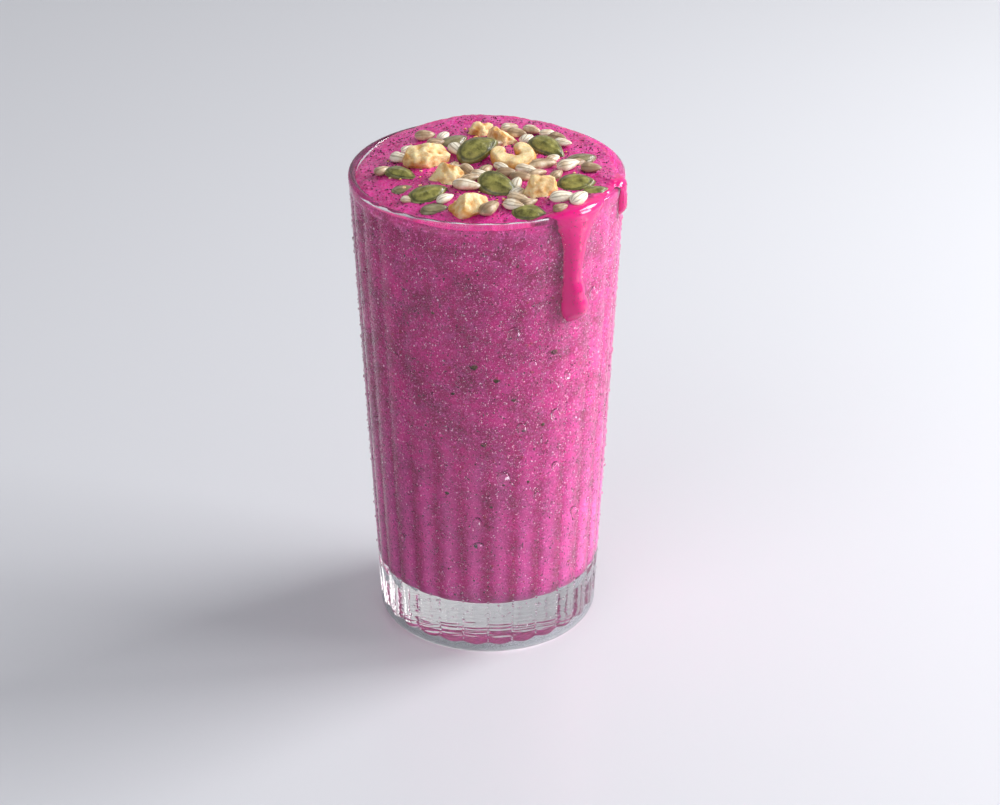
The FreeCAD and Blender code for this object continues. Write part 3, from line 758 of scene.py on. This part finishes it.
def make_chopped_nut(name, values, material):
    """A chopped nut: a blob with flat broken faces, then crumbled."""
    wide, deep, tall, yaw, seed = values
    unit, faces = ball(5)
    chance = np.random.default_rng(seed)
    points = unit * (1 + 0.16 * lumps(unit, 0.8, seed))[:, None]
    broken = np.zeros(len(unit))
    for _ in range(8):
        way = chance.normal(0, 1, 3)
        way[2] = abs(way[2]) * 0.8
        way /= np.linalg.norm(way)
        over = points @ way - chance.uniform(0.56, 0.86)
        points -= np.outer(np.clip(over, 0, None) * 0.93, way)
        broken = np.maximum(broken, np.clip(over * 9, 0, 1))
    points *= np.array([wide, deep, tall]) / 2 / 0.86
    crumble = (0.62 * lumps(points, 2.6, seed + 3) + 0.34 * lumps(points, 1.3, seed + 4)
               + 0.10 * lumps(points, 0.6, seed + 5))
    points += unit * crumble[:, None]
    laid = lowered_into(turned(points, middle_of(name), yaw), name)
    piece = new_piece(name.replace("nut_piece", "chopped_nut"), laid, faces, material, "nut",
                      name)
    # This value is high on broken faces and raised crumbs, and low in hollows as painted shade.
    set_attribute(piece, "broken", np.clip(0.45 + crumble * 1.3 + 0.35 * broken, 0, 1))


def make_curved_nut(name, material):
    """A half cashew: a thick bow with rounded ends, tipped up at its back."""
    rows_count, columns = 46, 28
    rows, broken = [], []
    around = ring_angles(columns)
    for i in range(rows_count):
        share = i / (rows_count - 1)
        turn = math.radians(318 * share)
        full = max(0.02, 1 - abs(2 * share - 1) ** 5) ** 0.5
        out = np.array([math.cos(turn), math.sin(turn), 0.0])
        reach = 2.7 * full * np.cos(around)
        rise = 3.2 * full * np.sin(around)
        ring = 3.9 + 0.5 * math.sin(2.2 * turn)
        rows.append(out[None] * (ring + reach)[:, None] + np.array([0, 0, 1.0]) * rise[:, None])
        broken += list(np.clip(np.sin(around) * 1.4 - 0.3, 0, 1))
    points = np.concatenate(rows)
    points[:, 2] = np.minimum(points[:, 2], 2.3 + 0.3 * np.sin(points[:, 0] * 1.3))
    uneven = lumps(points, 2.2, 21) * 0.35 + lumps(points, 0.9, 22) * 0.12
    points *= (1 + uneven / 6)[:, None]
    spun = turned(points, (0, 0, 0), 130)
    laid = lowered_into(turned(spun, middle_of(name), 0, 20), name)
    piece = new_piece("cashew_half", laid, tube_faces(rows_count, columns), material, "nut",
                      name)
    set_attribute(piece, "broken", broken)


def make_kernels(material):
    """Hulled sunflower kernels among the other toppings, as one piece."""
    rows_count, columns = 15, 14
    around = ring_angles(columns)
    vertices, faces, streak, tone = [], [], [], []
    for number, (x, y, length, yaw) in enumerate(KERNELS):
        width = length * RNG.uniform(0.50, 0.60)
        thick = length * RNG.uniform(0.36, 0.44)
        rows = []
        for share in np.linspace(-0.985, 0.985, rows_count):
            full = (1 - abs(share) ** 2.3) ** 0.62 * (1 - 0.34 * share)
            side = 1 + 0.05 * np.cos(6 * around)
            rows.append(np.stack([np.full(columns, share * length / 2),
                                  width / 2 * full * np.cos(around) * side,
                                  thick / 2 * full * np.sin(around) * side], axis=-1))
            streak += list(np.cos(around))
        points = np.concatenate(rows)
        tone += [RNG.uniform(-0.24, 0.24)] * len(points)
        points += lumps(points, 1.6, number + 40)[:, None] * 0.10
        height = GLASS_HEIGHT + float(drink_lift(x, y)) + thick * RNG.uniform(0.2, 0.5)
        faces += tube_faces(rows_count, columns, len(vertices) * len(points), flip=True)
        vertices.append(turned(points, (x, y, height), yaw, RNG.uniform(-4, 14),
                               RNG.uniform(-25, 25)))
    piece = new_piece("sunflower_kernels", np.concatenate(vertices), faces, material, "nut")
    set_attribute(piece, "streak", streak)
    set_attribute(piece, "tone", tone)


def make_crumbs(material):
    """Crumbs of nut on the drink among the toppings."""
    unit, faces = ball(2)
    rough = unit * (1 + 0.3 * lumps(unit, 0.7, 5))[:, None]
    count = 90
    out = 30 * np.sqrt(RNG.uniform(0, 1, count))
    turn = RNG.uniform(0, 2 * math.pi, count)
    place = at_angle(out, turn, 0.0)
    size = 0.28 + 0.55 * RNG.uniform(0, 1, count) ** 3
    place[:, 2] = GLASS_HEIGHT + drink_lift(place[:, 0], place[:, 1]) + size * 0.4
    frames = upright_frames(scaled(size, size * 0.8, size * 0.6))
    scatter_mesh("nut_crumbs", place, frames, rough, faces, material, "nut")


# ------------------------------------------------------------------ materials

class Nodes:
    """Short ways to add nodes to one tree. A value is a number, a colour or a socket."""

    def __init__(self, tree):
        self.tree = tree
        self.link = tree.links.new

    def add(self, kind, **settings):
        """A node. A setting is the value of a socket, _ for a space, or the node's own."""
        node = self.tree.nodes.new("ShaderNode" + kind)
        for key, value in settings.items():
            socket = key.replace("_", " ")
            if socket in node.inputs:
                node.inputs[socket].default_value = value
            else:
                setattr(node, key, value)
        return node

    def feed(self, sockets, values):
        """Each socket linked to its value, or set to it."""
        for socket, value in zip(sockets, values):
            if isinstance(value, bpy.types.NodeSocket):
                self.link(value, socket)
            elif isinstance(value, tuple):
                socket.default_value = (*value, 1)
            else:
                socket.default_value = value

    def place(self):
        """Places in the piece's own coordinates, in metres."""
        return self.add("TexCoord").outputs["Object"]

    def axes(self):
        """The piece's own X, Y and Z, in metres."""
        split = self.add("SeparateXYZ")
        self.link(self.place(), split.inputs["Vector"])
        return split.outputs

    def noise(self, scale, detail=3.0, roughness=0.6):
        """Noise in the piece's own coordinates; scale is per metre."""
        node = self.add("TexNoise", Scale=scale, Detail=detail, Roughness=roughness)
        self.link(self.place(), node.inputs["Vector"])
        return node.outputs["Fac"]

    def cells(self, scale):
        """The distance to the nearest of scattered points; scale is per metre."""
        node = self.add("TexVoronoi", feature="F1", Scale=scale)
        self.link(self.place(), node.inputs["Vector"])
        return node.outputs["Distance"]

    def attribute(self, name):
        """The number that set_attribute put at each vertex."""
        return self.add("Attribute", attribute_name=name).outputs["Fac"]

    def ramp(self, source, *stops):
        """A colour ramp fed by a socket; stops are (place, colour) pairs."""
        node = self.add("ValToRGB")
        elements = node.color_ramp.elements
        while len(elements) < len(stops):
            elements.new(0.5)
        for element, (place, colour) in zip(elements, stops):
            element.position = place
            element.color = (*colour, 1)
        self.link(source, node.inputs["Fac"])
        return node.outputs["Color"]

    def mixed(self, factor, first, second):
        """Two colours mixed: the first where the factor is 0, the second where it is 1."""
        node = self.add("Mix", data_type="RGBA")
        self.feed((node.inputs[0], node.inputs[6], node.inputs[7]), (factor, first, second))
        return node.outputs[2]

    def maths(self, operation, *values, clamp=False):
        node = self.add("Math", operation=operation, use_clamp=clamp)
        self.feed(node.inputs, values)
        return node.outputs[0]

    def times(self, first, second):
        return self.maths("MULTIPLY", first, second)

    def plus(self, first, second):
        return self.maths("ADD", first, second)

    def rising(self, source, start, end):
        """From 0 at start to 1 at end, clamped."""
        node = self.add("MapRange", From_Min=start, From_Max=end)
        self.link(source, node.inputs["Value"])
        return node.outputs["Result"]

    def stripes(self, patches, count, waver):
        """A wave from -1 to 1 across the streak attribute, made to waver by the patches."""
        across = self.maths("MULTIPLY_ADD", self.attribute("streak"), count,
                            self.times(patches, waver))
        return self.maths("SINE", across)


class Material(Nodes):
    """A material's nodes. Its values are the shader's own, _ for a space."""

    def __init__(self, name, **values):
        self.material = bpy.data.materials.new(name)
        self.material.use_nodes = True
        super().__init__(self.material.node_tree)
        self.shader = self.tree.nodes["Principled BSDF"]
        for key, value in values.items():
            self.shader.inputs[key.replace("_", " ")].default_value = value

    def painted(self, colour):
        self.link(colour, self.shader.inputs["Base Color"])

    def bumped(self, source, strength, distance):
        bump = self.add("Bump", Strength=strength, Distance=distance)
        self.link(source, bump.inputs["Height"])
        self.link(bump.outputs["Normal"], self.shader.inputs["Normal"])


def glass_material():
    """Clear glass, misted over its upper part with water too fine to model."""
    n = Material("reeded_glass", Base_Color=(1, 1, 1, 1), Roughness=0.0, IOR=1.45,
                 Transmission_Weight=1.0)
    height = n.axes()["Z"]
    mist = n.times(n.rising(height, 0.045, 0.080), n.rising(height, 0.1462, 0.1440))
    beads = n.maths("SUBTRACT", 0.50, n.cells(1150), clamp=True)
    large = n.maths("SUBTRACT", 0.40, n.cells(560), clamp=True)
    both = n.plus(beads, n.times(large, 2.0))
    # The punt and the foot are stippled underneath.
    under = n.times(n.rising(height, 0.0011, 0.0007), 0.9)
    stipple = n.times(under, n.cells(420))
    n.bumped(n.plus(n.times(both, mist), stipple), 0.32, 0.00036)
    return n.material


def water_material():
    """Clear water."""
    return Material("water", Base_Color=(1, 1, 1, 1), Roughness=0.0, IOR=1.33,
                    Transmission_Weight=1.0).material


def fill_material():
    """Blended fruit against the glass: mottled pink, with painted light and shade in reed bands.
    """
    n = Material("blended_fruit", Roughness=0.45, Subsurface_Weight=0.3,
                 Subsurface_Radius=(1.0, 0.25, 0.45), Subsurface_Scale=0.0015)
    x, y, z = (n.axes()[axis] for axis in "XYZ")
    patches = n.noise(330, 3, 0.65)
    fine = n.noise(1500, 3, 0.7)
    base = n.ramp(n.noise(130), (0.34, PINK_DEEP), (0.66, PINK))
    milky = n.times(n.rising(patches, 0.50, 0.70), 0.42)
    specks = n.times(n.rising(fine, 0.53, 0.66), 0.72)
    speckled = n.mixed(specks, n.mixed(milky, base, LILAC), PINK_PALE)
    # Painted light in bands where the reeds would gather light, painted shade between them, low
    # down.
    around = n.maths("ARCTAN2", x, n.times(y, -1.0))
    reeds = n.maths("COSINE", n.times(around, float(REED_COUNT)))
    painted_reed_light = n.maths("MULTIPLY_ADD", reeds, -0.5, 0.5)
    low = n.rising(z, 0.088, 0.040)
    banded = n.mixed(n.times(n.times(painted_reed_light, low), 0.42), speckled, PINK_PALE)
    # Painted shade in the valleys between the reeds.
    between = n.times(n.maths("SUBTRACT", 1.0, painted_reed_light), low)
    n.painted(n.mixed(n.times(between, 0.35), banded, PINK_DEEP))
    n.bumped(fine, 0.3, 0.0003)
    return n.material


def skin_material():
    """The top and the runs: frothy and lumpy on top, smooth and glossy where it runs."""
    n = Material("poured_fruit", Subsurface_Weight=0.4, Subsurface_Radius=(1.0, 0.25, 0.45),
                 Subsurface_Scale=0.0014, Coat_Weight=0.2, Coat_Roughness=0.02)
    x, y, _ = (n.axes()[axis] for axis in "XYZ")
    out = n.maths("SQRT", n.plus(n.times(x, x), n.times(y, y)))
    on_top = n.rising(out, 0.0388, 0.0376)
    broad = n.noise(160)
    fine = n.noise(1300, 4, 0.7)
    base = n.ramp(broad, (0.34, TOP_DEEP), (0.66, TOP_PINK))
    frothy = n.mixed(n.times(n.rising(fine, 0.50, 0.72), 0.6), base, TOP_PALE)
    n.painted(n.mixed(on_top, RUN_PINK, frothy))
    n.link(n.maths("MULTIPLY_ADD", on_top, 0.12, 0.06), n.shader.inputs["Roughness"])
    n.bumped(n.times(n.plus(fine, broad), on_top), 0.5, 0.0004)
    return n.material


def pepita_material(name, rim, body, light):
    """A hulled pumpkin seed: streaked along its length, darker at the rim, a little waxy."""
    n = Material(name, Roughness=0.30, Coat_Weight=0.6, Coat_Roughness=0.12)
    edge = n.attribute("edge")
    patches = n.noise(420)
    fine = n.noise(1800)
    streaks = n.maths("MULTIPLY_ADD", n.stripes(patches, 9.0, 7.0), 0.5, 0.5)
    face = n.mixed(n.rising(patches, 0.34, 0.66), body, light)
    streaked = n.mixed(n.times(streaks, 0.35), face, rim)
    dappled = n.mixed(n.times(n.rising(fine, 0.5, 0.7), 0.35), streaked, light)
    # The rim is darkest in its groove, and less dark at the very edge.
    past = n.maths("SUBTRACT", 1.0, n.times(n.rising(edge, 0.80, 0.88), 0.7))
    near = n.times(n.rising(edge, 0.70, 0.80), past)
    n.painted(n.mixed(n.times(near, 0.75), dappled, rim))
    n.bumped(n.plus(fine, n.times(streaks, 0.6)), 0.4, 0.00025)
    return n.material


def nut_material():
    """Roasted nut: creamy where it stands out or broke, golden and brown in patches and, as
    painted shade, in its hollows.
    """
    n = Material("roasted_nut", Roughness=0.5, Subsurface_Weight=0.25,
                 Subsurface_Radius=(1.0, 0.7, 0.4), Subsurface_Scale=0.0012)
    patches = n.noise(330, 4, 0.65)
    fine = n.noise(1600, 4, 0.7)
    cream = n.ramp(fine, (0.35, NUT_CREAM), (0.65, NUT_WHITE))
    gold = n.ramp(patches, (0.36, NUT_BROWN), (0.56, NUT_GOLD))
    # Painted shade: the broken value is low in crumbled hollows, which get gold and brown.
    creamy = n.maths("MULTIPLY_ADD", n.attribute("broken"), 1.15,
                     n.maths("SUBTRACT", patches, 0.80), clamp=True)
    n.painted(n.mixed(creamy, gold, cream))
    n.bumped(fine, 0.5, 0.0004)
    return n.material


def kernel_material():
    """Sunflower kernels: from brown to ivory, with brown lengthwise lines."""
    n = Material("sunflower_kernel", Roughness=0.42, Coat_Weight=0.2, Coat_Roughness=0.25)
    patches = n.noise(260)
    pale = n.ramp(n.plus(patches, n.attribute("tone")), (0.28, KERNEL_GREY),
                  (0.45, KERNEL_BEIGE), (0.62, KERNEL_IVORY))
    lined = n.times(n.rising(n.stripes(patches, 11.0, 4.0), 0.2, 0.9), 0.55)
    n.painted(n.mixed(lined, pale, KERNEL_LINE))
    n.bumped(n.noise(1700), 0.35, 0.0002)
    return n.material


def plain_material(name, dark, light, roughness):
    """Two tones in patches, for things too small to show more."""
    n = Material(name, Roughness=roughness)
    n.painted(n.ramp(n.noise(900), (0.4, dark), (0.65, light)))
    return n.material


# ------------------------------------------------------------------ light, floor and camera

def make_stage():
    """A pale floor, and a world that is brighter to the right and dimmer overhead."""
    floor = bpy.data.meshes.new("floor")
    floor.from_pydata([(-3, -3, 0), (3, -3, 0), (3, 3, 0), (-3, 3, 0)], [], [(0, 1, 2, 3)])
    linked("floor", floor)
    floor.materials.append(Material("pale_floor", Base_Color=(0.69, 0.695, 0.73, 1),
                                    Roughness=0.35).material)

    world = bpy.data.worlds.new("studio")
    bpy.context.scene.world = world
    world.use_nodes = True
    world.node_tree.nodes.clear()
    n = Nodes(world.node_tree)
    split = n.add("SeparateXYZ")
    n.link(n.add("TexCoord").outputs["Generated"], split.inputs["Vector"])
    side = n.maths("MULTIPLY_ADD", split.outputs["X"], 0.25, 0.5)
    sky = n.ramp(side, (0.2, (0.35, 0.36, 0.39)), (0.5, (0.62, 0.63, 0.66)),
                 (0.8, (1.0, 1.0, 1.0)))
    overhead = n.times(n.rising(split.outputs["Z"], 0.55, 0.95), 0.7)
    light = n.add("Background", Strength=0.80)
    n.link(n.mixed(overhead, sky, (0.12, 0.12, 0.13)), light.inputs["Color"])
    # What the camera sees past the floor is a plain pale backdrop.
    backdrop = n.add("Background", Strength=1.0, Color=(0.93, 0.93, 0.94, 1))
    choice = n.add("MixShader")
    camera_ray = n.add("LightPath").outputs["Is Camera Ray"]
    n.feed(choice.inputs, (camera_ray, light.outputs[0], backdrop.outputs[0]))
    n.link(choice.outputs[0], n.add("OutputWorld").inputs["Surface"])


def add_light(name, place, power, size, colour=(1, 1, 1)):
    """A soft lamp at a place in metres, turned to the middle of the glass."""
    data = bpy.data.lights.new(name, "AREA")
    data.shape = "RECTANGLE"
    data.size, data.size_y = size
    data.energy = power
    data.color = colour
    lamp = linked(name, data)
    lamp.location = place
    aim = Vector((0, 0, 0.08)) - Vector(place)
    lamp.rotation_euler = aim.to_track_quat("-Z", "Y").to_euler()


def make_camera():
    """The camera, in front of the glass and above it, turned down to it."""
    data = bpy.data.cameras.new("camera")
    data.sensor_width = 36
    data.lens = 86.4
    camera = linked("camera", data)
    camera.location = (0, -0.6563, 0.4239)
    camera.rotation_euler = Euler((math.radians(61.722), 0, math.radians(-0.342)))
    bpy.context.scene.camera = camera


# ------------------------------------------------------------------ putting it together

bpy.context.scene.view_settings.view_transform = "Standard"
make_camera()
make_stage()
add_light("window", (0.84, 0.30, 0.78), 11, (0.50, 0.46))
add_light("side", (0.97, -0.12, 0.38), 5.4, (0.28, 0.46))
add_light("fill", (-0.6, -0.9, 0.8), 3.6, (0.9, 0.9), (0.95, 0.97, 1.0))

make_glass(glass_material())
make_drink_fill(fill_material())
make_drink_skin(skin_material())
make_fruit_seeds(plain_material("black_seed", (0.008, 0.005, 0.007), (0.020, 0.008, 0.012), 0.4))
# Pale specks painted as glints of the condensation.
make_painted_glints(plain_material("painted_glint", GLINT_PINK, GLINT_PINK, 0.3))
make_bits(plain_material("leaf_bit", (0.022, 0.020, 0.008), (0.110, 0.062, 0.018), 0.6),
          plain_material("skin_fleck", (0.32, 0.012, 0.06), (0.45, 0.03, 0.11), 0.5))
pepitas = {
    "green": pepita_material("pepita_green", (0.026, 0.028, 0.006), (0.115, 0.112, 0.018),
                             (0.430, 0.400, 0.100)),
    "dull": pepita_material("pepita_dull", (0.085, 0.058, 0.025), (0.200, 0.160, 0.072),
                            (0.380, 0.335, 0.180)),
}
for number, values in enumerate(PUMPKIN_SEEDS):
    make_pumpkin_seed(f"pumpkin_seed_{number + 1:02}", values, pepitas, number)
nut = nut_material()
for number, values in enumerate(CHOPPED_NUTS):
    make_chopped_nut(f"nut_piece_{number + 1:02}", values, nut)
make_curved_nut("nut_piece_07", nut)
make_kernels(kernel_material())
make_crumbs(plain_material("nut_crumb", NUT_GOLD, NUT_WHITE, 0.55))
make_condensation(water_material())
# Clear things cast no shadow, so that the light reaches the drink behind them.
for piece in bpy.context.scene.objects:
    if piece.name == "glass_body" or piece.name.startswith("condensation"):
        piece.visible_shadow = False
